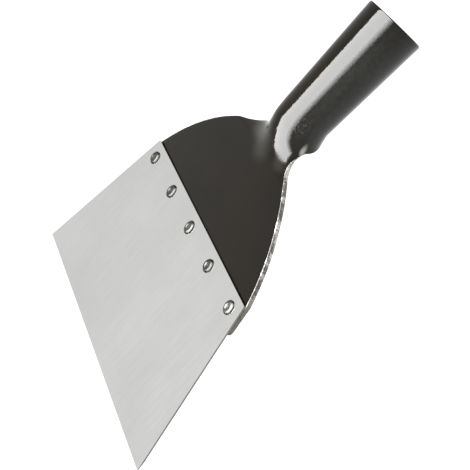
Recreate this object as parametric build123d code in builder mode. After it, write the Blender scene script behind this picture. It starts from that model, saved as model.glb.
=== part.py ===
from build123d import *

import os
from math import asin, cos, radians, sin, tan

# Floor scraper head: a pressed steel head with a rolled handle socket and a riveted spring-steel blade.
#
# Frame: X across the blade, +Y from the cutting edge towards the handle, +Z out of the riveted face.
# The zero point is under the middle of the whole head, at the height of its lowest point. Millimetres.
# Lengths along Y and heights below are given from the blade's rear edge and from its riveted face.

# Place of the blade's rear edge and riveted face in the frame.
REAR_EDGE_Y = -25.1
FACE_Z = 31.6

# Blade: a flared sheet, thinned from below at the cutting edge.
BLADE_CUT_WIDTH = 200.0
BLADE_REAR_WIDTH = 152.0
BLADE_LENGTH = 95.0
BLADE_T = 1.0
BEVEL_LENGTH = 5.0
BEVEL_DEPTH = 0.65
BLADE_CORNER_R = 1.2

# Head: one sheet, flat under the blade and rolled into a socket at the handle end.
SHEET_T = 3.0
PLATE_UNDER_BLADE = 18.0
PLATE_FRONT_HALF = 79.4
PLATE_REAR_HALF = 76.0
PLATE_CORNER_R = 4.0
SHOULDER_MID = (60.7, 25.4)
SHOULDER_Y = 49.0
SHOULDER_HALF = 34.8

# Socket: a cone that narrows towards the neck and droops a little from the plate.
# Its mouth is cut a few degrees out of square, longest on the side at MOUTH_LONG_SIDE.
SOCKET_START_Y = 78.0
SOCKET_START_Z = -9.8
SOCKET_DROOP = 3.0
SOCKET_LENGTH = 65.0
SOCKET_NECK_R = 14.7
SOCKET_MOUTH_R = 17.4
SEAM_HALF_ANGLE = 4.0
MOUTH_EDGE = 0.4
MOUTH_TILT = 5.5
MOUTH_LONG_SIDE = 142.0
MOUTH_ALLOWANCE = 3.0

# Hole for the screw that keeps the handle in the socket.
SCREW_HOLE_R = 2.5
SCREW_HOLE_FROM_MOUTH = 16.0
SCREW_HOLE_ANGLE = -20.0

# Filler bead along the socket seam.
BEAD_R = 2.1
BEAD_SINK = 0.7
BEAD_START = 2.5
BEAD_END = 61.0

# Rivets, in one row along the blade's rear edge.
RIVET_COUNT = 5
RIVET_PITCH = 34.0
RIVET_ROW_Y = -8.0
RIVET_SHANK_R = 2.5
RIVET_HOLE_R = 2.55
RIVET_HEAD_R = 3.9
RIVET_HEAD_H = 1.3
RIVET_EDGE_H = 0.3
RIVET_DISH_R = 1.9
RIVET_DISH_DEPTH = 0.3
RIVET_TAIL_H = 1.0

PLATE_TOP = -BLADE_T
PLATE_BOTTOM = PLATE_TOP - SHEET_T
RIVET_XS = [(i - (RIVET_COUNT - 1) / 2) * RIVET_PITCH for i in range(RIVET_COUNT)]

# Neck stations between the plate and the socket:
# (y, half width of the bent sheet, half wrap angle, height of the crown, backward lean of the section).
NECK = [
    (SHOULDER_Y, SHOULDER_HALF, 2.5, PLATE_TOP, 0.0),
    (53.0, 27.2, 10.0, -0.9, 0.0),
    (57.0, 22.0, 26.0, -0.4, 0.5),
    (61.0, 19.2, 54.0, 1.0, 1.1),
    (65.0, 17.0, 84.0, 2.7, 1.7),
    (71.0, 15.2, 136.0, 4.4, 2.6),
]


def from_blade(x, y, z):
    """Point given from the middle of the blade's rear edge on its riveted face."""
    return Vector(x, y + REAR_EDGE_Y, z + FACE_Z)


def level(z):
    """Horizontal plane at a height from the riveted face, y from the blade's rear edge."""
    return Plane(origin=from_blade(0, 0, z), x_dir=(1, 0, 0), z_dir=(0, 0, 1))


def socket_frame(station):
    """Plane across the socket at a distance along its axis, x to the side and y up."""
    droop = radians(SOCKET_DROOP)
    along = Vector(0, cos(droop), -sin(droop))
    return Plane(
        origin=from_blade(0, SOCKET_START_Y, SOCKET_START_Z) + along * station,
        x_dir=(-1, 0, 0),
        z_dir=along,
    )


def socket_outer_r(station):
    """Outside radius of the socket at a distance along its axis."""
    return SOCKET_NECK_R + (SOCKET_MOUTH_R - SOCKET_NECK_R) * station / SOCKET_LENGTH


def bent_section(outer_r, half_angle, crown):
    """Outline of a sheet bent to an arc, its crown on the sketch's y axis at the given height."""
    inner_r = outer_r - SHEET_T
    centre = Vector(0, crown - outer_r)
    a = radians(half_angle)
    tips = [Vector(side * sin(a), cos(a)) for side in (-1, 1)]
    ThreePointArc(centre + tips[0] * outer_r, centre + Vector(0, outer_r), centre + tips[1] * outer_r)
    Line(centre + tips[1] * outer_r, centre + tips[1] * inner_r)
    ThreePointArc(centre + tips[1] * inner_r, centre + Vector(0, inner_r), centre + tips[0] * inner_r)
    Line(centre + tips[0] * inner_r, centre + tips[0] * outer_r)


def outer_radius(half_width, half_angle):
    """Outside radius that gives a bent sheet this half width."""
    if half_angle < 90:
        return half_width / sin(radians(half_angle))
    return half_width


# Plane holding the socket's axis: x along the axis, y outwards towards the riveted face.
profile_plane = Plane(
    origin=socket_frame(0).origin,
    x_dir=socket_frame(0).z_dir,
    z_dir=(1, 0, 0),
)
# Plane of the socket's mouth, leaning so that one side of the socket is a little longer.
square_mouth = socket_frame(SOCKET_LENGTH)
long_side = (
    square_mouth.x_dir * cos(radians(MOUTH_LONG_SIDE)) + square_mouth.y_dir * sin(radians(MOUTH_LONG_SIDE))
)
mouth_plane = Plane(
    origin=square_mouth.origin,
    z_dir=square_mouth.z_dir - long_side * tan(radians(MOUTH_TILT)),
)
# Plane on the socket's axis that faces out through the screw hole.
screw_frame = socket_frame(SOCKET_LENGTH - SCREW_HOLE_FROM_MOUTH)
screw_direction = (
    screw_frame.x_dir * cos(radians(SCREW_HOLE_ANGLE)) + screw_frame.y_dir * sin(radians(SCREW_HOLE_ANGLE))
)
screw_plane = Plane(origin=screw_frame.origin, x_dir=screw_frame.z_dir, z_dir=screw_direction)

os.makedirs("parts", exist_ok=True)

# ---------------------------------------------------------------- blade
with BuildPart() as blade:
    with BuildSketch(level(-BLADE_T)):
        with BuildLine():
            Polyline(
                (-BLADE_REAR_WIDTH / 2, 0),
                (BLADE_REAR_WIDTH / 2, 0),
                (BLADE_CUT_WIDTH / 2, -BLADE_LENGTH),
                (-BLADE_CUT_WIDTH / 2, -BLADE_LENGTH),
                close=True,
            )
        make_face()
    extrude(amount=BLADE_T)
    fillet(blade.edges().filter_by(Axis.Z).group_by(Axis.Y)[-1], BLADE_CORNER_R)
    with BuildSketch(Plane(origin=from_blade(-BLADE_CUT_WIDTH, 0, 0), x_dir=(0, 1, 0), z_dir=(1, 0, 0))):
        with BuildLine():
            Polyline(
                (-BLADE_LENGTH - 1, -BLADE_T - 1),
                (-BLADE_LENGTH - 1, -BLADE_T + BEVEL_DEPTH * (1 + 1 / BEVEL_LENGTH)),
                (-BLADE_LENGTH + BEVEL_LENGTH, -BLADE_T),
                (-BLADE_LENGTH + BEVEL_LENGTH, -BLADE_T - 1),
                close=True,
            )
        make_face()
    extrude(amount=2 * BLADE_CUT_WIDTH, mode=Mode.SUBTRACT)
    with BuildSketch(level(-BLADE_T)):
        with Locations(*[(x, RIVET_ROW_Y) for x in RIVET_XS]):
            Circle(RIVET_HOLE_R)
    extrude(amount=BLADE_T, mode=Mode.SUBTRACT)
blade.part.label = "blade"

# ---------------------------------------------------------------- socket wall, joined to the head below
socket_stock = SOCKET_LENGTH + MOUTH_ALLOWANCE
with BuildPart() as socket:
    # A cone turned about the drooping axis, its mouth cut a little out of square.
    with BuildSketch(profile_plane):
        with BuildLine():
            Polyline(
                (0, SOCKET_NECK_R - SHEET_T),
                (0, SOCKET_NECK_R),
                (socket_stock, socket_outer_r(socket_stock)),
                (socket_stock, socket_outer_r(socket_stock) - SHEET_T),
                close=True,
            )
        make_face()
    revolve(axis=Axis(socket_frame(0).origin, socket_frame(0).z_dir))
    split(bisect_by=mouth_plane, keep=Keep.BOTTOM)
    chamfer(socket.faces().sort_by(Axis.Y)[-1].edges(), MOUTH_EDGE)

# ---------------------------------------------------------------- head
with BuildPart() as head:
    # Flat plate up to the shoulders.
    with BuildSketch(level(PLATE_BOTTOM)):
        with BuildLine():
            Polyline(
                (0, SHOULDER_Y),
                (0, -PLATE_UNDER_BLADE),
                (PLATE_FRONT_HALF, -PLATE_UNDER_BLADE),
                (PLATE_REAR_HALF, 0),
            )
            ThreePointArc((PLATE_REAR_HALF, 0), SHOULDER_MID, (SHOULDER_HALF, SHOULDER_Y))
            Line((SHOULDER_HALF, SHOULDER_Y), (0, SHOULDER_Y))
        make_face()
        mirror(about=Plane.YZ)
    extrude(amount=SHEET_T)
    fillet(head.edges().filter_by(Axis.Z).group_by(Axis.Y)[0], PLATE_CORNER_R)
    # Neck: the sheet rolls downwards into the socket.
    for y, half_width, half_angle, crown, lean in NECK:
        lean_angle = radians(lean)
        station_plane = Plane(
            origin=from_blade(0, y, 0),
            x_dir=(-1, 0, 0),
            z_dir=(0, cos(lean_angle), -sin(lean_angle)),
        )
        with BuildSketch(station_plane):
            with BuildLine():
                bent_section(outer_radius(half_width, half_angle), half_angle, crown)
            make_face()
    with BuildSketch(socket_frame(0)):
        with BuildLine():
            bent_section(SOCKET_NECK_R, 180 - SEAM_HALF_ANGLE, SOCKET_NECK_R)
        make_face()
    loft()
    add(socket.part)
    # Seam left open between the rolled edges.
    seam_reach = 2 * SOCKET_MOUTH_R
    seam_half_width = seam_reach * tan(radians(SEAM_HALF_ANGLE))
    with BuildSketch(socket_frame(0)):
        with BuildLine():
            Polyline(
                (0, 0),
                (-seam_half_width, -seam_reach),
                (seam_half_width, -seam_reach),
                close=True,
            )
        make_face()
    extrude(amount=socket_stock, mode=Mode.SUBTRACT)
    # Screw hole through one wall of the socket.
    with BuildSketch(screw_plane):
        Circle(SCREW_HOLE_R)
    extrude(amount=2 * SOCKET_MOUTH_R, mode=Mode.SUBTRACT)
    with BuildSketch(level(PLATE_BOTTOM)):
        with Locations(*[(x, RIVET_ROW_Y) for x in RIVET_XS]):
            Circle(RIVET_HOLE_R)
    extrude(amount=SHEET_T, mode=Mode.SUBTRACT)
head.part.label = "head"

# ---------------------------------------------------------------- seam weld
with BuildPart() as seam_weld:
    for station in (BEAD_START, BEAD_END):
        with BuildSketch(socket_frame(station)):
            with Locations((0, BEAD_SINK - socket_outer_r(station))):
                Circle(BEAD_R)
    loft(ruled=True)
    for station in (BEAD_START, BEAD_END):
        end = socket_frame(station)
        with Locations(end.from_local_coords(Vector(0, BEAD_SINK - socket_outer_r(station), 0))):
            Sphere(BEAD_R)
    add(head.part, mode=Mode.SUBTRACT)
seam_weld.part.label = "seam_weld"


def dome_middle(base_r, height):
    """Radius and rise, from the pole, of the point halfway along a spherical dome."""
    sphere_r = (base_r ** 2 + height ** 2) / (2 * height)
    half = asin(base_r / sphere_r) / 2
    return sphere_r * sin(half), sphere_r * (1 - cos(half))


def make_rivet(x):
    """Solid rivet: a low domed head with a sunk middle, a shank, and a flattened tail."""
    tail_r = RIVET_HEAD_R - 0.3
    dish_r, dish_rise = dome_middle(RIVET_DISH_R, RIVET_DISH_DEPTH)
    dome_r, dome_rise = dome_middle(tail_r, RIVET_TAIL_H)
    shoulder_run = RIVET_HEAD_R - RIVET_DISH_R
    shoulder_drop = RIVET_HEAD_H - RIVET_EDGE_H
    shoulder_r = (shoulder_run ** 2 + shoulder_drop ** 2) / (2 * shoulder_drop)
    with BuildPart() as rivet:
        with BuildSketch(Plane(origin=from_blade(x, RIVET_ROW_Y, 0), x_dir=(1, 0, 0), z_dir=(0, -1, 0))):
            with BuildLine():
                Line((0, PLATE_BOTTOM - RIVET_TAIL_H), (0, RIVET_HEAD_H - RIVET_DISH_DEPTH))
                ThreePointArc(
                    (0, RIVET_HEAD_H - RIVET_DISH_DEPTH),
                    (dish_r, RIVET_HEAD_H - RIVET_DISH_DEPTH + dish_rise),
                    (RIVET_DISH_R, RIVET_HEAD_H),
                )
                RadiusArc((RIVET_DISH_R, RIVET_HEAD_H), (RIVET_HEAD_R, RIVET_EDGE_H), shoulder_r)
                Polyline(
                    (RIVET_HEAD_R, RIVET_EDGE_H),
                    (RIVET_HEAD_R, 0),
                    (RIVET_SHANK_R, 0),
                    (RIVET_SHANK_R, PLATE_BOTTOM),
                    (tail_r, PLATE_BOTTOM),
                )
                ThreePointArc(
                    (tail_r, PLATE_BOTTOM),
                    (dome_r, PLATE_BOTTOM - RIVET_TAIL_H + dome_rise),
                    (0, PLATE_BOTTOM - RIVET_TAIL_H),
                )
            make_face()
        revolve(axis=Axis(from_blade(x, RIVET_ROW_Y, 0), (0, 0, 1)))
    return rivet


# ---------------------------------------------------------------- rivets
rivets = [make_rivet(x) for x in RIVET_XS]
for number, rivet in enumerate(rivets, start=1):
    rivet.part.label = f"rivet_{number}"
    export_step(rivet.part, f"parts/rivet_{number}.step")

export_step(blade.part, "parts/blade.step")
export_step(head.part, "parts/head.step")
export_step(seam_weld.part, "parts/seam_weld.step")
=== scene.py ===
"""Floor scraper head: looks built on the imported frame.

Blender works in metres, in the frame's own axes. The head, the bead and the rivets are worked out in
millimetres from the blade's rear edge and face, and turned into metres as their points are made.
"""

import math
import random

import bpy
import bmesh
from mathutils import Matrix, Vector, noise


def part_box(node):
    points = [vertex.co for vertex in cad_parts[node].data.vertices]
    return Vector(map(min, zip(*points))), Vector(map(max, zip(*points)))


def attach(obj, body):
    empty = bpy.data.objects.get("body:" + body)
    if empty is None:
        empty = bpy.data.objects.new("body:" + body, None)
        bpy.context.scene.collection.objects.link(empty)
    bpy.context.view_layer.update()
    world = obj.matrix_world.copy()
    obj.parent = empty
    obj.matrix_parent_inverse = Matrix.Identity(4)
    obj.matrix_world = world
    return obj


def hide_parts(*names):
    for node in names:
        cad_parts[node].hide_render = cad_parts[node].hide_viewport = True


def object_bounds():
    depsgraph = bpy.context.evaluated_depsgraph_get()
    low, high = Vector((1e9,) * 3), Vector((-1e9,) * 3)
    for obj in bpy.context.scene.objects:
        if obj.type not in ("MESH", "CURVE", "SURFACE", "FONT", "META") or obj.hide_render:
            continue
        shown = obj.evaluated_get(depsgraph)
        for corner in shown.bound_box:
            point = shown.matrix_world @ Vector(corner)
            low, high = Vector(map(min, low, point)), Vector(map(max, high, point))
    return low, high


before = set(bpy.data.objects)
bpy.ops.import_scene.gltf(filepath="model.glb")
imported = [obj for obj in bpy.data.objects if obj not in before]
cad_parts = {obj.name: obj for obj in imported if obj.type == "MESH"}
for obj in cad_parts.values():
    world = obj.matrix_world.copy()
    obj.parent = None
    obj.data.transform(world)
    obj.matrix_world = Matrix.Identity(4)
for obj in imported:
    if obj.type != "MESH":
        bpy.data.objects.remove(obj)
cad_low, cad_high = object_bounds()

MM = 0.001

# ---------------------------------------------------------------- frame positions
_, blade_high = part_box("blade")
REAR_Y = blade_high[1]
FACE_Z = blade_high[2]

# Marks on the paint and the cut edge: the middle and the radii in mm, from the blade's rear edge and
# face, then the share of the radii at full strength, and the colour at full strength.
# Painted highlights, lighter paint standing in for reflections: on the plate in front of the neck, in the
# valley on its left and along its right foot.
PLATE_PAINTED_HIGHLIGHT = ((0.8, 50.4, -1.0), (12.0, 9.0, 8.0), 0.0, (0.0042, 0.0040, 0.0034))
VALLEY_PAINTED_HIGHLIGHT = ((-8.4, 56.6, -1.0), (17.0, 8.5, 9.0), 0.0, (0.0098, 0.0094, 0.0082))
FOOT_PAINTED_HIGHLIGHT = ((19.5, 53.0, -2.7), (8.0, 5.0, 5.0), 0.0, (0.0040, 0.0034, 0.0028))
# Painted sheen: lighter paint along the socket's right flank, broken up by a grain in the paint.
FLANK_PAINTED_SHEEN = ((13.0, 104.0, -10.0), (12.0, 62.0, 18.0), 0.3, (0.0075, 0.0078, 0.0070))
# A lighter, mottled patch on the neck's right flank, with a rougher bump.
ROUGH_FLANK = ((12.3, 74.5, -1.8), (7.0, 9.0, 6.0), 0.2, (0.012, 0.0115, 0.010))
# Painted glint: a small bright spot on the neck's right flank, below the ridge.
NECK_PAINTED_GLINT = ((16.5, 65.2, -10.4), (3.4, 5.6, 2.2), 0.1, (0.085, 0.082, 0.076))
DULL_CUT = ((0.0, -20.0, 0.0), (200.0, 40.0, 60.0), 0.55, (0.13, 0.12, 0.105))
# The duller neck has no colour of its own: its roughness changes instead.
DULL_NECK = ((15.5, 58.0, -2.5), (7.0, 9.0, 7.0), 0.1)
DULL_NECK_ROUGH = 0.24

PAINT_TONES = ((0.0005, 0.0003, 0.00005), (0.0010, 0.0006, 0.0001))
PAINT_ROUGH = (0.05, 0.11)
PAINT_IOR = 1.33
CUT_TONES = ((0.12, 0.115, 0.105), (0.55, 0.54, 0.52))
CUT_GRIME = (0.02, 0.018, 0.015)
BLADE_TONE = (0.71, 0.71, 0.70)
BLADE_SIDE_TONE = (0.16, 0.16, 0.155)
BLADE_ROUGH = (0.08, 0.13)
# Rivets: (place, tone) from the middle out, each place a share of RIVET_TONE_REACH, which is in metres. The
# last, darkest place is painted contact shadow round the foot of the head.
RIVET_TONES_AND_SHADE = ((0.0, 0.13), (0.36, 0.07), (0.50, 0.045), (0.78, 0.035), (0.90, 0.012))
RIVET_TONE_REACH, RIVET_TONE_WOBBLE = 0.0045, 0.0008
RIVET_SHINE = (1.0, 0.9, 1.15, 0.8, 1.4)   # how bright each rivet is beside the others


# ---------------------------------------------------------------- materials
def new_material(name):
    mat = bpy.data.materials.new(name)
    mat.use_nodes = True
    nodes = mat.node_tree.nodes
    return mat, nodes, mat.node_tree.links, nodes["Principled BSDF"]


def noise_node(nodes, links, vector, scale, detail=3.0, rough=0.55):
    n = nodes.new("ShaderNodeTexNoise")
    n.inputs["Scale"].default_value = scale
    n.inputs["Detail"].default_value = detail
    n.inputs["Roughness"].default_value = rough
    links.new(vector, n.inputs["Vector"])
    return n.outputs["Fac"]


def ramp(nodes, links, value, stops):
    r = nodes.new("ShaderNodeValToRGB")
    elements = r.color_ramp.elements
    while len(elements) < len(stops):
        elements.new(0.5)
    for element, (position, colour) in zip(elements, stops):
        element.position = position
        element.color = (*colour, 1.0) if len(colour) == 3 else colour
    links.new(value, r.inputs["Fac"])
    return r.outputs["Color"]


def grey(v):
    return (v, v, v)


def stretched(nodes, links, scale):
    coord = nodes.new("ShaderNodeTexCoord")
    mapping = nodes.new("ShaderNodeMapping")
    mapping.inputs["Scale"].default_value = scale
    links.new(coord.outputs["Object"], mapping.inputs["Vector"])
    return mapping.outputs["Vector"]


def mix(nodes, links, kind, fac, a, b):
    m = nodes.new("ShaderNodeMix")
    m.data_type = kind
    if kind == "RGBA":
        sa, sb, out = m.inputs[6], m.inputs[7], m.outputs[2]
    else:
        sa, sb, out = m.inputs[2], m.inputs[3], m.outputs[0]
    for socket, value in ((m.inputs[0], fac), (sa, a), (sb, b)):
        if isinstance(value, bpy.types.NodeSocket):
            links.new(value, socket)
        else:
            socket.default_value = value
    return out


def bump(nodes, links, height, strength, distance):
    b = nodes.new("ShaderNodeBump")
    b.inputs["Strength"].default_value = strength
    b.inputs["Distance"].default_value = distance
    links.new(height, b.inputs["Height"])
    return b.outputs["Normal"]


def place_mask(nodes, links, centre, radii, core):
    """1 in an ellipsoid's core, fading out to 0 at its rim. In mm from the blade's rear edge and face."""
    coord = nodes.new("ShaderNodeTexCoord")
    centre = Vector((centre[0] * MM, centre[1] * MM + REAR_Y, centre[2] * MM + FACE_Z))
    shift = nodes.new("ShaderNodeVectorMath")
    shift.operation = "SUBTRACT"
    links.new(coord.outputs["Object"], shift.inputs[0])
    shift.inputs[1].default_value = centre
    scale = nodes.new("ShaderNodeVectorMath")
    scale.operation = "MULTIPLY"
    links.new(shift.outputs["Vector"], scale.inputs[0])
    scale.inputs[1].default_value = tuple(1.0 / (r * MM) for r in radii)
    length = nodes.new("ShaderNodeVectorMath")
    length.operation = "LENGTH"
    links.new(scale.outputs["Vector"], length.inputs[0])
    fade = nodes.new("ShaderNodeMapRange")
    fade.interpolation_type = "SMOOTHSTEP"
    links.new(length.outputs["Value"], fade.inputs["Value"])
    fade.inputs["From Min"].default_value = core
    fade.inputs["From Max"].default_value = 1.0
    fade.inputs["To Min"].default_value = 1.0
    fade.inputs["To Max"].default_value = 0.0
    return fade.outputs["Result"]


def times(nodes, links, a, b):
    m = nodes.new("ShaderNodeMath")
    m.operation = "MULTIPLY"
    links.new(a, m.inputs[0])
    links.new(b, m.inputs[1])
    return m.outputs["Value"]


def marked(nodes, links, colour, mark, texture=None):
    """The colour with a mark on it, which the texture breaks up, and the mark's strength."""
    centre, radii, core, tone = mark
    strength = place_mask(nodes, links, centre, radii, core)
    if texture is not None:
        strength = times(nodes, links, strength, texture)
    return mix(nodes, links, "RGBA", strength, colour, (*tone, 1)), strength


def black_paint():
    """Semi-gloss black paint, with painted highlights round the neck, a painted sheen along the socket, a
    lighter mottled patch and a painted glint.
    """
    mat, nodes, links, bsdf = new_material("black_paint")
    even = stretched(nodes, links, (1, 1, 1))
    cloud = noise_node(nodes, links, even, 22.0, 4.0)
    fine = noise_node(nodes, links, even, 420.0, 2.0)
    peel = noise_node(nodes, links, even, 900.0, 1.0)
    speckle = noise_node(nodes, links, even, 750.0, 3.0, 0.65)
    grit = ramp(nodes, links, speckle, [(0.50, grey(0.0)), (0.60, grey(1.0))])
    grain = ramp(nodes, links, fine, [(0.3, grey(0.42)), (0.7, grey(0.72))])
    colour = ramp(nodes, links, cloud, [(0.3, PAINT_TONES[0]), (0.7, PAINT_TONES[1])])
    # Painted highlights, lighter paint standing in for reflections: in the valley beside the neck, on the
    # plate in front of it and along its foot.
    colour, _ = marked(nodes, links, colour, PLATE_PAINTED_HIGHLIGHT)
    colour, _ = marked(nodes, links, colour, VALLEY_PAINTED_HIGHLIGHT)
    colour, _ = marked(nodes, links, colour, FOOT_PAINTED_HIGHLIGHT)
    # Painted sheen along the socket's right flank, broken up by a fine grain, then a lighter mottled patch
    # and a painted glint.
    colour, _ = marked(nodes, links, colour, FLANK_PAINTED_SHEEN, grain)
    colour, flank = marked(nodes, links, colour, ROUGH_FLANK, grit)
    # Painted glint on the neck's right flank.
    colour, _ = marked(nodes, links, colour, NECK_PAINTED_GLINT)
    links.new(colour, bsdf.inputs["Base Color"])
    gloss = mix(nodes, links, "FLOAT", 0.35, cloud, fine)
    roughness = ramp(nodes, links, gloss, [(0.3, grey(PAINT_ROUGH[0])), (0.75, grey(PAINT_ROUGH[1]))])
    neck = place_mask(nodes, links, *DULL_NECK)
    links.new(mix(nodes, links, "FLOAT", neck, roughness, DULL_NECK_ROUGH), bsdf.inputs["Roughness"])
    relief = mix(nodes, links, "FLOAT", flank, peel, speckle)
    links.new(bump(nodes, links, relief, 0.14, 0.0002), bsdf.inputs["Normal"])
    bsdf.inputs["IOR"].default_value = PAINT_IOR
    return mat


def cut_steel():
    """Bare sheared edge: torn bright steel between patches of grime, duller beside the blade."""
    mat, nodes, links, bsdf = new_material("cut_edge")
    grain = noise_node(nodes, links, stretched(nodes, links, (1, 1, 0.25)), 900.0, 3.0, 0.7)
    patches = noise_node(nodes, links, stretched(nodes, links, (1, 1, 1)), 160.0, 4.0, 0.65)
    steel = ramp(nodes, links, grain, [(0.3, CUT_TONES[0]), (0.7, CUT_TONES[1])])
    mask = ramp(nodes, links, patches, [(0.46, grey(0.0)), (0.60, grey(1.0))])
    steel, _ = marked(nodes, links, steel, DULL_CUT)
    colour = mix(nodes, links, "RGBA", mask, (*CUT_GRIME, 1), steel)
    links.new(colour, bsdf.inputs["Base Color"])
    links.new(mask, bsdf.inputs["Metallic"])
    links.new(ramp(nodes, links, grain, [(0.3, grey(0.28)), (0.7, grey(0.5))]), bsdf.inputs["Roughness"])
    links.new(bump(nodes, links, grain, 0.6, 0.0004), bsdf.inputs["Normal"])
    return mat


def satin_steel():
    """Ground blade steel: cloudy tones and fine grinding lines, dark on its sheared sides."""
    mat, nodes, links, bsdf = new_material("blade_steel")
    grain = noise_node(nodes, links, stretched(nodes, links, (420.0, 12.0, 420.0)), 3.0, 4.0, 0.6)
    even = stretched(nodes, links, (1, 1, 1))
    cloud = noise_node(nodes, links, even, 30.0, 6.0, 0.62)
    broad = noise_node(nodes, links, even, 8.0, 2.0, 0.5)
    dark = tuple(0.93 * c for c in BLADE_TONE)
    light = tuple(1.03 * c for c in BLADE_TONE)
    mottle = mix(nodes, links, "FLOAT", 0.35, mix(nodes, links, "FLOAT", 0.5, cloud, broad), grain)
    face = ramp(nodes, links, mottle, [(0.36, dark), (0.62, light)])
    geometry = nodes.new("ShaderNodeNewGeometry")
    parts = nodes.new("ShaderNodeSeparateXYZ")
    links.new(geometry.outputs["True Normal"], parts.inputs["Vector"])
    upright = nodes.new("ShaderNodeMath")
    upright.operation = "ABSOLUTE"
    links.new(parts.outputs["Z"], upright.inputs[0])
    side = ramp(nodes, links, upright.outputs["Value"], [(0.4, grey(1.0)), (0.8, grey(0.0))])
    links.new(mix(nodes, links, "RGBA", side, face, (*BLADE_SIDE_TONE, 1)), bsdf.inputs["Base Color"])
    bsdf.inputs["Metallic"].default_value = 1.0
    roughness = ramp(nodes, links, mottle, [(0.35, grey(BLADE_ROUGH[0])), (0.65, grey(BLADE_ROUGH[1]))])
    links.new(roughness, bsdf.inputs["Roughness"])
    links.new(bump(nodes, links, grain, 0.05, 0.00002), bsdf.inputs["Normal"])
    return mat


def rivet_steel(index, shine):
    """Peened, tarnished steel: duller towards the rim, with painted contact shadow where the head meets the
    blade.
    """
    mat, nodes, links, bsdf = new_material(f"rivet_steel_{index}")
    coord = nodes.new("ShaderNodeTexCoord")
    flat = nodes.new("ShaderNodeVectorMath")
    flat.operation = "MULTIPLY"
    links.new(coord.outputs["Object"], flat.inputs[0])
    flat.inputs[1].default_value = (1, 1, 0)
    length = nodes.new("ShaderNodeVectorMath")
    length.operation = "LENGTH"
    links.new(flat.outputs["Vector"], length.inputs[0])
    wobble = noise_node(nodes, links, coord.outputs["Object"], 700.0, 3.0, 0.6)
    radius = nodes.new("ShaderNodeMath")
    radius.operation = "MULTIPLY_ADD"
    links.new(wobble, radius.inputs[0])
    radius.inputs[1].default_value = RIVET_TONE_WOBBLE
    links.new(length.outputs["Value"], radius.inputs[2])
    share = nodes.new("ShaderNodeMath")
    share.operation = "DIVIDE"
    links.new(radius.outputs["Value"], share.inputs[0])
    share.inputs[1].default_value = RIVET_TONE_REACH
    # The darkest, outermost stop is painted contact shadow.
    stops = [(place, (shine * v, shine * v, shine * 0.93 * v)) for place, v in RIVET_TONES_AND_SHADE]
    links.new(ramp(nodes, links, share.outputs["Value"], stops), bsdf.inputs["Base Color"])
    bsdf.inputs["Metallic"].default_value = 1.0
    links.new(ramp(nodes, links, wobble, [(0.3, grey(0.22)), (0.7, grey(0.38))]), bsdf.inputs["Roughness"])
    links.new(bump(nodes, links, wobble, 0.35, 0.00012), bsdf.inputs["Normal"])
    return mat


BLADE_MAT = satin_steel()
PAINT = black_paint()
EDGE = cut_steel()


def make_object(name, verts, faces, mats, face_mats=None):
    mesh = bpy.data.meshes.new(name)
    mesh.from_pydata([tuple(v) for v in verts], [], faces)
    for m in mats:
        mesh.materials.append(m)
    if face_mats:
        for poly, index in zip(mesh.polygons, face_mats):
            poly.material_index = index
    for poly in mesh.polygons:
        poly.use_smooth = True
    mesh.update()
    obj = bpy.data.objects.new(name, mesh)
    bpy.context.scene.collection.objects.link(obj)
    return obj


# ---------------------------------------------------------------- head
# Millimetres and degrees, from the blade's rear edge and face.
BLADE_T, SHEET_T = 1.0, 3.0
PLATE_TOP = -BLADE_T
FRONT_Y, CORNER_R, FRONT_HALF, REAR_HALF = -18.0, 4.0, 79.4, 76.0
SHOULDER_MID, SHOULDER_Y, SHOULDER_HALF = (60.7, 25.4), 49.0, 34.8
# The sheet starts to curl at CURL_Y. A section's wrap is half the angle that it turns through.
CURL_Y, PLATE_WRAP, SHOULDER_WRAP = 30.0, 0.6, 2.5
DROOP_DEGREES = 3.0
SOCKET_Y, SOCKET_Z, DROOP = 78.0, -9.8, math.radians(DROOP_DEGREES)
SOCKET_UP = Vector((0, math.sin(DROOP), math.cos(DROOP)))
SOCKET_LENGTH, NECK_R, MOUTH_R = 65.0, 14.7, 17.4
SOCKET_END, SOCKET_WRAP = SOCKET_Y + SOCKET_LENGTH, 176.0
# The mouth is cut out of square, longest on one side. The rounding of its rim starts MOUTH_EDGE before it.
MOUTH_SLOPE, LONG_SIDE, MOUTH_EDGE = math.tan(math.radians(5.5)), math.radians(142.0), 0.5
# Soft ridge that carries the socket's crown on towards the plate, and where it rises and falls along Y.
RIDGE_H, RIDGE_W, RIDGE_RISE, RIDGE_FALL = 1.0, 8.0, (45.0, 56.0), (60.0, 80.0)
# y, half width, wrap, crown height, lean
NECK = [
    (SHOULDER_Y, SHOULDER_HALF, SHOULDER_WRAP, PLATE_TOP, 0.0),
    (53.0, 27.2, 10.0, -0.9, 0.0),
    (57.0, 22.0, 26.0, -0.4, 0.5),
    (61.0, 19.2, 54.0, 1.0, 1.1),
    (65.0, 17.0, 84.0, 2.7, 1.7),
    (71.0, 15.2, 136.0, 4.4, 2.6),
    (SOCKET_Y, NECK_R, SOCKET_WRAP, SOCKET_Z + NECK_R, DROOP_DEGREES),
]


def circle_through(a, b, c):
    """Centre and radius of the circle through three points."""
    (ax, ay), (bx, by), (cx, cy) = a, b, c
    d = 2 * (ax * (by - cy) + bx * (cy - ay) + cx * (ay - by))
    ux = ((ax**2 + ay**2) * (by - cy) + (bx**2 + by**2) * (cy - ay) + (cx**2 + cy**2) * (ay - by)) / d
    uy = ((ax**2 + ay**2) * (cx - bx) + (bx**2 + by**2) * (ax - cx) + (cx**2 + cy**2) * (bx - ax)) / d
    return ux, uy, math.hypot(ax - ux, ay - uy)


ARC_X, ARC_Y, ARC_R = circle_through((REAR_HALF, 0.0), SHOULDER_MID, (SHOULDER_HALF, SHOULDER_Y))


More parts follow.
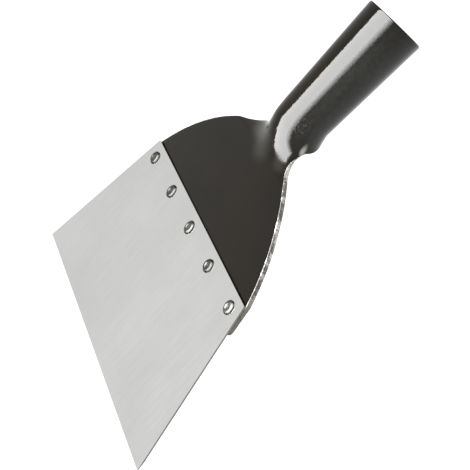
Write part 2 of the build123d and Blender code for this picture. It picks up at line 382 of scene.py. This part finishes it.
def plate_half(y):
    """Half width of the plate: an arc behind the blade, then a straight side with a round front corner."""
    if y >= 0:
        return ARC_X + math.sqrt(ARC_R**2 - (y - ARC_Y) ** 2)
    side = REAR_HALF + (FRONT_HALF - REAR_HALF) * y / FRONT_Y
    rise = FRONT_Y + CORNER_R - y
    if rise > 0:
        side -= CORNER_R - math.sqrt(max(0.0, CORNER_R**2 - rise**2))
    return side


def hermite(points, x):
    """Smooth value through (x, y) points, which rises and falls only where they do."""
    rises = [(b[1] - a[1]) / (b[0] - a[0]) for a, b in zip(points, points[1:])]
    slopes = [rises[0]]
    for before, after in zip(rises, rises[1:]):
        slopes.append(0.0 if before * after <= 0 else 2 * before * after / (before + after))
    slopes.append(rises[-1])
    i = 0
    while i < len(points) - 2 and x > points[i + 1][0]:
        i += 1
    (x0, y0), (x1, y1) = points[i], points[i + 1]
    h = x1 - x0
    t = (x - x0) / h
    from_start = (2 * t**3 - 3 * t**2 + 1) * y0 + (t**3 - 2 * t**2 + t) * slopes[i] * h
    return from_start + (3 * t**2 - 2 * t**3) * y1 + (t**3 - t**2) * slopes[i + 1] * h


def socket_radius(along):
    """Outer radius of the socket's cone, along mm from its start."""
    return NECK_R + (MOUTH_R - NECK_R) * along / SOCKET_LENGTH


def station(y):
    """Outer radius, wrap, crown height and lean of the sheet's section at y, before the socket."""
    if y <= SHOULDER_Y:
        curl = max(0.0, (y - CURL_Y) / (SHOULDER_Y - CURL_Y)) ** 2
        wrap = math.radians(PLATE_WRAP + (SHOULDER_WRAP - PLATE_WRAP) * curl)
        return plate_half(y) / math.sin(wrap), wrap, PLATE_TOP, 0.0
    columns = list(zip(*NECK))
    half, wrap, crown, lean = (hermite(list(zip(columns[0], column)), y) for column in columns[1:])
    wrap = math.radians(wrap)
    radius = half / math.sin(wrap) if wrap < math.pi / 2 else half
    return radius, wrap, crown, math.radians(lean)


def smooth_step(value, low, high):
    t = min(1.0, max(0.0, (value - low) / (high - low)))
    return t * t * (3 - 2 * t)


def section_point(y, share, inset, depth):
    """Point of the sheet: share of the wrap, mm in from the sheared edge, mm below the outer face."""
    if y >= SOCKET_Y:
        wrap, s = math.radians(SOCKET_WRAP), y - SOCKET_Y
        radius = socket_radius(s)
        turn = wrap * share
        reach = math.sin(LONG_SIDE) * math.cos(turn) - math.cos(LONG_SIDE) * math.sin(turn)
        s += MOUTH_SLOPE * (radius - depth) * reach * (s / SOCKET_LENGTH) ** 3
        radius = socket_radius(s)
        y = SOCKET_Y + s
        centre = Vector((0, SOCKET_Y + math.cos(DROOP) * s, SOCKET_Z - math.sin(DROOP) * s))
        up = SOCKET_UP
    else:
        radius, wrap, crown, lean = station(y)
        up = Vector((0, math.sin(lean), math.cos(lean)))
        centre = Vector((0, y, 0)) + up * (crown - radius)
    r = radius - depth
    angle = wrap * abs(share) - inset / r
    side = -1 if share < 0 else 1
    p = centre + Vector((side * math.sin(angle) * r, 0, 0)) + up * (r * math.cos(angle))
    ridge = RIDGE_H * smooth_step(y, *RIDGE_RISE) * (1 - smooth_step(y, *RIDGE_FALL))
    p.z += ridge * math.exp(-((p.x / RIDGE_W) ** 2)) * max(0.0, math.cos(angle)) ** 0.5
    return Vector((p.x * MM, p.y * MM + REAR_Y, p.z * MM + FACE_Z))


BEND_FROM, BEND_TO = 40.0, 80.0


def head_rows():
    """Places along Y of the sections: closer together where the sheet bends."""
    rows = [FRONT_Y + CORNER_R * (1 - math.cos(step * math.pi / 16)) for step in range(9)]
    y = FRONT_Y + CORNER_R
    for bend_edge, step in ((BEND_FROM, 2.0), (BEND_TO, 0.5)):
        while y < bend_edge:
            y += step
            rows.append(y)
    while y < SOCKET_END - 1.2:
        y += 2.0
        rows.append(min(y, SOCKET_END - 0.6))
    rows += [SOCKET_END - 0.3, SOCKET_END]
    return sorted(set(round(row, 4) for row in rows))


ACROSS = 72                     # steps across the sheet
FACE_SHARE = 0.985              # share of the wrap that the points of the two faces keep to
ROLL, INNER_ROLL = 0.55, 0.35   # rounding of the sheared edge on the outer face and on the inner one
BARE_EDGE_END = 66.0            # the sheared edge is painted beyond this Y
# Sheared edge, from the outer face to the inner one: (mm in from the edge, mm below the outer face).
EDGE_STEPS = ((ROLL * 0.5, 0.05), (ROLL * 0.15, 0.2), (0.0, ROLL), (0.05, 1.2), (0.0, 2.0), (0.1, 2.8))


def head_profile():
    """Loop round the section: (share, inset, depth, is_edge)."""
    shares = [-1 + 2 * i / ACROSS for i in range(1, ACROSS)]
    loop = [(-1, ROLL, 0.0, False)]
    loop += [(share * FACE_SHARE, 0.0, 0.0, False) for share in shares]
    loop.append((1, ROLL, 0.0, False))
    loop += [(1, inset, depth, True) for inset, depth in EDGE_STEPS]
    loop.append((1, INNER_ROLL, SHEET_T, False))
    loop += [(-share * FACE_SHARE, 0.0, SHEET_T, False) for share in shares]
    loop.append((-1, INNER_ROLL, SHEET_T, False))
    loop += [(-1, inset, depth, True) for inset, depth in reversed(EDGE_STEPS)]
    return loop


def build_head():
    rows = head_rows()
    loop = head_profile()
    n = len(loop)
    verts = []
    for y in rows:
        rim = max(0.0, MOUTH_EDGE - (SOCKET_END - y))
        for share, inset, depth, _ in loop:
            verts.append(section_point(y, share, inset, min(max(depth, rim), SHEET_T - rim)))
    faces, mats = [], []
    for r in range(len(rows) - 1):
        for i in range(n):
            j = (i + 1) % n
            faces.append((r * n + i, r * n + j, (r + 1) * n + j, (r + 1) * n + i))
            edge = loop[i][3] or loop[j][3]
            mats.append(1 if edge and rows[r] < BARE_EDGE_END else 0)
    # The two ends: a strip of quads from the outer face to the inner one, and the edge's corners.
    edge_steps = len(EDGE_STEPS)
    last_inner = ACROSS + 1 + edge_steps + ACROSS
    for base, flip in ((0, True), ((len(rows) - 1) * n, False)):
        ends = []
        for i in range(ACROSS):
            ends.append((base + i, base + i + 1, base + last_inner - i - 1, base + last_inner - i))
        right = range(base + ACROSS, base + ACROSS + edge_steps + 2)
        left = [*range(base + last_inner, base + n), base]
        for end in ends:
            faces.append(end if flip else end[::-1])
        for end in (right, left):
            faces.append(tuple(end) if flip else tuple(end[::-1]))
        mats += [0] * (ACROSS + 2)
    head = make_object("pressed_head", verts, faces, [PAINT, EDGE], mats)
    bm = bmesh.new()
    bm.from_mesh(head.data)
    bmesh.ops.recalc_face_normals(bm, faces=bm.faces)
    bm.to_mesh(head.data)
    bm.free()
    return head


def cylinder(start, direction, radius, length):
    """Closed cylinder from start along direction, in metres, as a cutter."""
    bm = bmesh.new()
    bmesh.ops.create_cone(bm, cap_ends=True, segments=40, radius1=radius, radius2=radius, depth=length)
    turn = direction.to_track_quat("Z", "Y").to_matrix().to_4x4()
    place = Matrix.Translation(start + direction * length / 2) @ turn
    bmesh.ops.transform(bm, matrix=place, verts=bm.verts)
    mesh = bpy.data.meshes.new("cutter")
    bm.to_mesh(mesh)
    bm.free()
    cutter = bpy.data.objects.new("cutter", mesh)
    bpy.context.scene.collection.objects.link(cutter)
    return cutter


def cut_holes(obj, cutters):
    """Cuts each cutter out of the object's mesh for good, and removes the cutters."""
    for cutter in cutters:
        modifier = obj.modifiers.new("hole", "BOOLEAN")
        modifier.operation, modifier.solver, modifier.object = "DIFFERENCE", "EXACT", cutter
    bpy.context.view_layer.update()
    cut = bpy.data.meshes.new_from_object(obj.evaluated_get(bpy.context.evaluated_depsgraph_get()))
    obj.modifiers.clear()
    obj.data = cut
    for cutter in cutters:
        bpy.data.objects.remove(cutter)


RIVET_COUNT, RIVET_PITCH, RIVET_ROW, RIVET_HOLE_R = 5, 34.0, -8.0, 2.55
RIVET_XS = [(i - (RIVET_COUNT - 1) / 2) * RIVET_PITCH for i in range(RIVET_COUNT)]
SCREW_ALONG, SCREW_ANGLE, SCREW_R = SOCKET_LENGTH - 16.0, math.radians(-20.0), 2.5
# Lengths of the cutters: out through the socket's wall, and through the plate from below.
SCREW_CUT, RIVET_CUT = 30.0, 12.0


def socket_axis(along):
    """Point of the socket's axis, along mm from its start, in metres."""
    y = SOCKET_Y + math.cos(DROOP) * along
    z = SOCKET_Z - math.sin(DROOP) * along
    return Vector((0, y * MM + REAR_Y, z * MM + FACE_Z))


screw_direction = Vector((-math.cos(SCREW_ANGLE), 0, 0)) + SOCKET_UP * math.sin(SCREW_ANGLE)
head = build_head()
hole_cutters = [cylinder(socket_axis(SCREW_ALONG), screw_direction, SCREW_R * MM, SCREW_CUT * MM)]
for rivet_x in RIVET_XS:
    foot = Vector((rivet_x * MM, REAR_Y + RIVET_ROW * MM, FACE_Z - RIVET_CUT / 2 * MM))
    hole_cutters.append(cylinder(foot, Vector((0, 0, 1)), RIVET_HOLE_R * MM, RIVET_CUT * MM))
cut_holes(head, hole_cutters)
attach(head, "root")
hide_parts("head")


# ---------------------------------------------------------------- weld bead along the seam
BEAD_R, BEAD_SINK, BEAD_START, BEAD_END = 2.1, 0.7, 2.5, 61.0
BEAD_TURNS, BEAD_STEP = 28, 0.2
BEAD_RIPPLE, BEAD_DRIFT = 1.7, 0.25   # length of a ripple, and how far the bead wanders sideways
BEAD_ROOT = 0.05                      # the bead's inner side lies this deep in the socket's wall


def build_bead():
    turns = BEAD_TURNS
    low, high = BEAD_START - BEAD_R * 0.9, BEAD_END + BEAD_R * 0.9
    count = int((high - low) / BEAD_STEP)
    verts = []
    for i in range(count + 1):
        s = low + (high - low) * i / count
        past = max(BEAD_START - s, s - BEAD_END, 0.0)
        end = math.sqrt(max(0.02, 1 - (past / BEAD_R) ** 2))
        outer = socket_radius(s)
        root = outer - BEAD_ROOT
        drift = BEAD_DRIFT * noise.noise(Vector((0, 0, s * 0.22)))
        for k in range(turns):
            a = math.tau * k / turns
            phase = ((s + 0.55 * (1 - math.cos(a)) - 0.9 * math.sin(a) ** 2) / BEAD_RIPPLE) % 1.0
            r = BEAD_R * end * (0.93 + 0.07 * math.sin(math.pi * phase) ** 0.6)
            x = r * math.sin(a) + drift * end
            down = outer - BEAD_SINK + r * math.cos(a)
            reach = math.hypot(x, down)
            if reach < root:
                x, down = x * root / reach, down * root / reach
            verts.append(socket_axis(s) + Vector((x * MM, 0, 0)) - SOCKET_UP * down * MM)
    faces = [tuple(range(turns))]
    for i in range(count):
        for k in range(turns):
            n = (k + 1) % turns
            faces.append((i * turns + k, (i + 1) * turns + k, (i + 1) * turns + n, i * turns + n))
    faces.append(tuple(range((count + 1) * turns - 1, count * turns - 1, -1)))
    bead = make_object("rippled_bead", verts, faces, [PAINT])
    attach(bead, "root")
    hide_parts("seam_weld")


build_bead()

# ---------------------------------------------------------------- rivets
RIVET_CREST, RIVET_HEAD_R, RIVET_HEAD_H, RIVET_EDGE_H, RIVET_DISH = 1.9, 3.9, 1.3, 0.3, 0.3
RIVET_SHANK_R, TAIL_R, TAIL_H = 2.5, 3.6, 1.0
RIVET_GRIP = BLADE_T + SHEET_T
RIVET_TURNS = 48


def rivet_outline():
    """(radius, height) from the middle of the dish out over the head, down the shank to the tail's pole."""
    run, drop = RIVET_HEAD_R - RIVET_CREST, RIVET_HEAD_H - RIVET_EDGE_H
    shoulder = (run**2 + drop**2) / (2 * drop)
    points = []
    for k in range(1, 9):
        r = RIVET_CREST * k / 9
        dip = math.cos(math.pi / 2 * (r / RIVET_CREST) ** 1.5) ** 0.8
        points.append((r, RIVET_HEAD_H - RIVET_DISH * dip))
    for k in range(0, 13):
        x = run * k / 12
        points.append((RIVET_CREST + x, RIVET_HEAD_H - 0.03 - shoulder + math.sqrt(shoulder**2 - x**2)))
    points += [(RIVET_HEAD_R, 0.12), (RIVET_HEAD_R - 0.06, 0.0)]
    points += [(RIVET_SHANK_R, 0.0), (RIVET_SHANK_R, -RIVET_GRIP), (TAIL_R, -RIVET_GRIP)]
    for k in range(1, 8):
        a = math.pi / 2 * k / 8
        points.append((TAIL_R * math.cos(a), -RIVET_GRIP - TAIL_H * math.sin(a)))
    return points


def build_rivet(index):
    """Rivet with a dished head that the peening left a little oval, uneven and out of level."""
    rnd = random.Random(40 + index)
    lean = Vector((rnd.uniform(-0.05, 0.05), rnd.uniform(-0.05, 0.05)))
    squash = rnd.uniform(0.0, math.tau)
    outline = rivet_outline()
    verts = [(0, 0, (RIVET_HEAD_H - RIVET_DISH) * MM)]
    for r, h in outline:
        for k in range(RIVET_TURNS):
            a = math.tau * k / RIVET_TURNS
            rough = noise.noise(Vector((math.cos(a), math.sin(a), 5.0 * index + h))) if h > 0 else 0.0
            rr = r * (1 + 0.02 * math.cos(2 * (a - squash))) + (0.05 * rough if r > 1 else 0.0)
            rr = min(rr, RIVET_HEAD_R * 1.02)
            tilt = (lean.x * math.cos(a) + lean.y * math.sin(a)) * r
            hh = h + (0.03 * rough + tilt if h > 0.2 else 0.0)
            verts.append((rr * math.cos(a) * MM, rr * math.sin(a) * MM, hh * MM))
    verts.append((0, 0, -(RIVET_GRIP + TAIL_H) * MM))
    last = len(verts) - 1
    last_ring = 1 + (len(outline) - 1) * RIVET_TURNS
    faces = []
    for k in range(RIVET_TURNS):
        n = (k + 1) % RIVET_TURNS
        faces.append((0, 1 + k, 1 + n))
        faces.append((last, last_ring + n, last_ring + k))
        for ring in range(len(outline) - 1):
            a, b = 1 + ring * RIVET_TURNS, 1 + (ring + 1) * RIVET_TURNS
            faces.append((a + k, b + k, b + n, a + n))
    steel = rivet_steel(index + 1, RIVET_SHINE[index])
    rivet = make_object(f"peened_rivet_{index + 1}", verts, faces, [steel])
    rivet.location = Vector((RIVET_XS[index] * MM, REAR_Y + RIVET_ROW * MM, FACE_Z))
    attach(rivet, "root")
    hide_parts(f"rivet_{index + 1}")


for rivet_index in range(RIVET_COUNT):
    build_rivet(rivet_index)


# ---------------------------------------------------------------- carried-over nodes
for material_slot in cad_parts["blade"].material_slots:
    material_slot.material = BLADE_MAT


# ---------------------------------------------------------------- stage
# Metres from here on.
FLOOR_DROP, FLOOR_HALF = 0.6, 12.0
FLOOR_TONE, FLOOR_GLOW = 0.10, 0.8
WORLD_STRENGTH = 0.85
SOFTBOX_Z, SOFTBOX_LENGTH, SOFTBOX_WATTS = 1.0, 2.4, 86.0
# One overhead softbox, its brightness falling off in steps towards one side: (x from, x to, share).
SOFTBOX_STRIPS = ((-0.44, 0.50, 1.0), (0.50, 0.64, 0.75), (0.64, 0.80, 0.45), (0.80, 0.96, 0.18))


def build_floor():
    """Pale, faintly glowing floor, well below the object."""
    mat, _, _, bsdf = new_material("floor_pale")
    bsdf.inputs["Base Color"].default_value = (FLOOR_TONE, FLOOR_TONE, FLOOR_TONE, 1)
    bsdf.inputs["Roughness"].default_value = 0.9
    bsdf.inputs["Emission Color"].default_value = (1, 1, 1, 1)
    bsdf.inputs["Emission Strength"].default_value = FLOOR_GLOW
    z = cad_low[2] - FLOOR_DROP
    corners = [(x * FLOOR_HALF, y * FLOOR_HALF, z) for x, y in ((-1, -1), (1, -1), (1, 1), (-1, 1))]
    floor = make_object("floor", corners, [(0, 1, 2, 3)], [mat])


def build_softbox():
    """Strips of light facing straight down, side by side."""
    for x_from, x_to, share in SOFTBOX_STRIPS:
        width = x_to - x_from
        data = bpy.data.lights.new("softbox", "AREA")
        data.shape = "RECTANGLE"
        data.size, data.size_y = width, SOFTBOX_LENGTH
        data.energy = SOFTBOX_WATTS * share * width * SOFTBOX_LENGTH
        light = bpy.data.objects.new("softbox", data)
        light.location = ((x_from + x_to) / 2, 0.0, SOFTBOX_Z)
        light.visible_camera = False
        bpy.context.scene.collection.objects.link(light)


build_floor()
build_softbox()
world = bpy.data.worlds.new("studio")
bpy.context.scene.world = world
world.use_nodes = True
world.node_tree.nodes["Background"].inputs["Color"].default_value = (1, 1, 1, 1)
world.node_tree.nodes["Background"].inputs["Strength"].default_value = WORLD_STRENGTH

# ---------------------------------------------------------------- camera
CAMERA_FROM_FACE = Vector((547.7, 216.5, 409.0)) * MM
LOOK = Vector((-0.7479, -0.2948, -0.5948)).normalized()
UP = Vector((-0.5863, 0.7134, 0.3837))
SENSOR_WIDTH, LENS = 36.0, 103.634    # millimetres

cam_data = bpy.data.cameras.new("camera")
cam_data.sensor_width = SENSOR_WIDTH
cam_data.lens = LENS
cam_data.clip_start, cam_data.clip_end = 0.05, 50.0
camera = bpy.data.objects.new("camera", cam_data)
z = -LOOK
y = (UP - z * UP.dot(z)).normalized()
x = y.cross(z)
camera_place = Matrix.Translation(CAMERA_FROM_FACE + Vector((0, REAR_Y, FACE_Z)))
camera.matrix_world = camera_place @ Matrix((x, y, z)).transposed().to_4x4()
bpy.context.scene.collection.objects.link(camera)
bpy.context.scene.camera = camera
bpy.context.scene.view_settings.view_transform = "Standard"
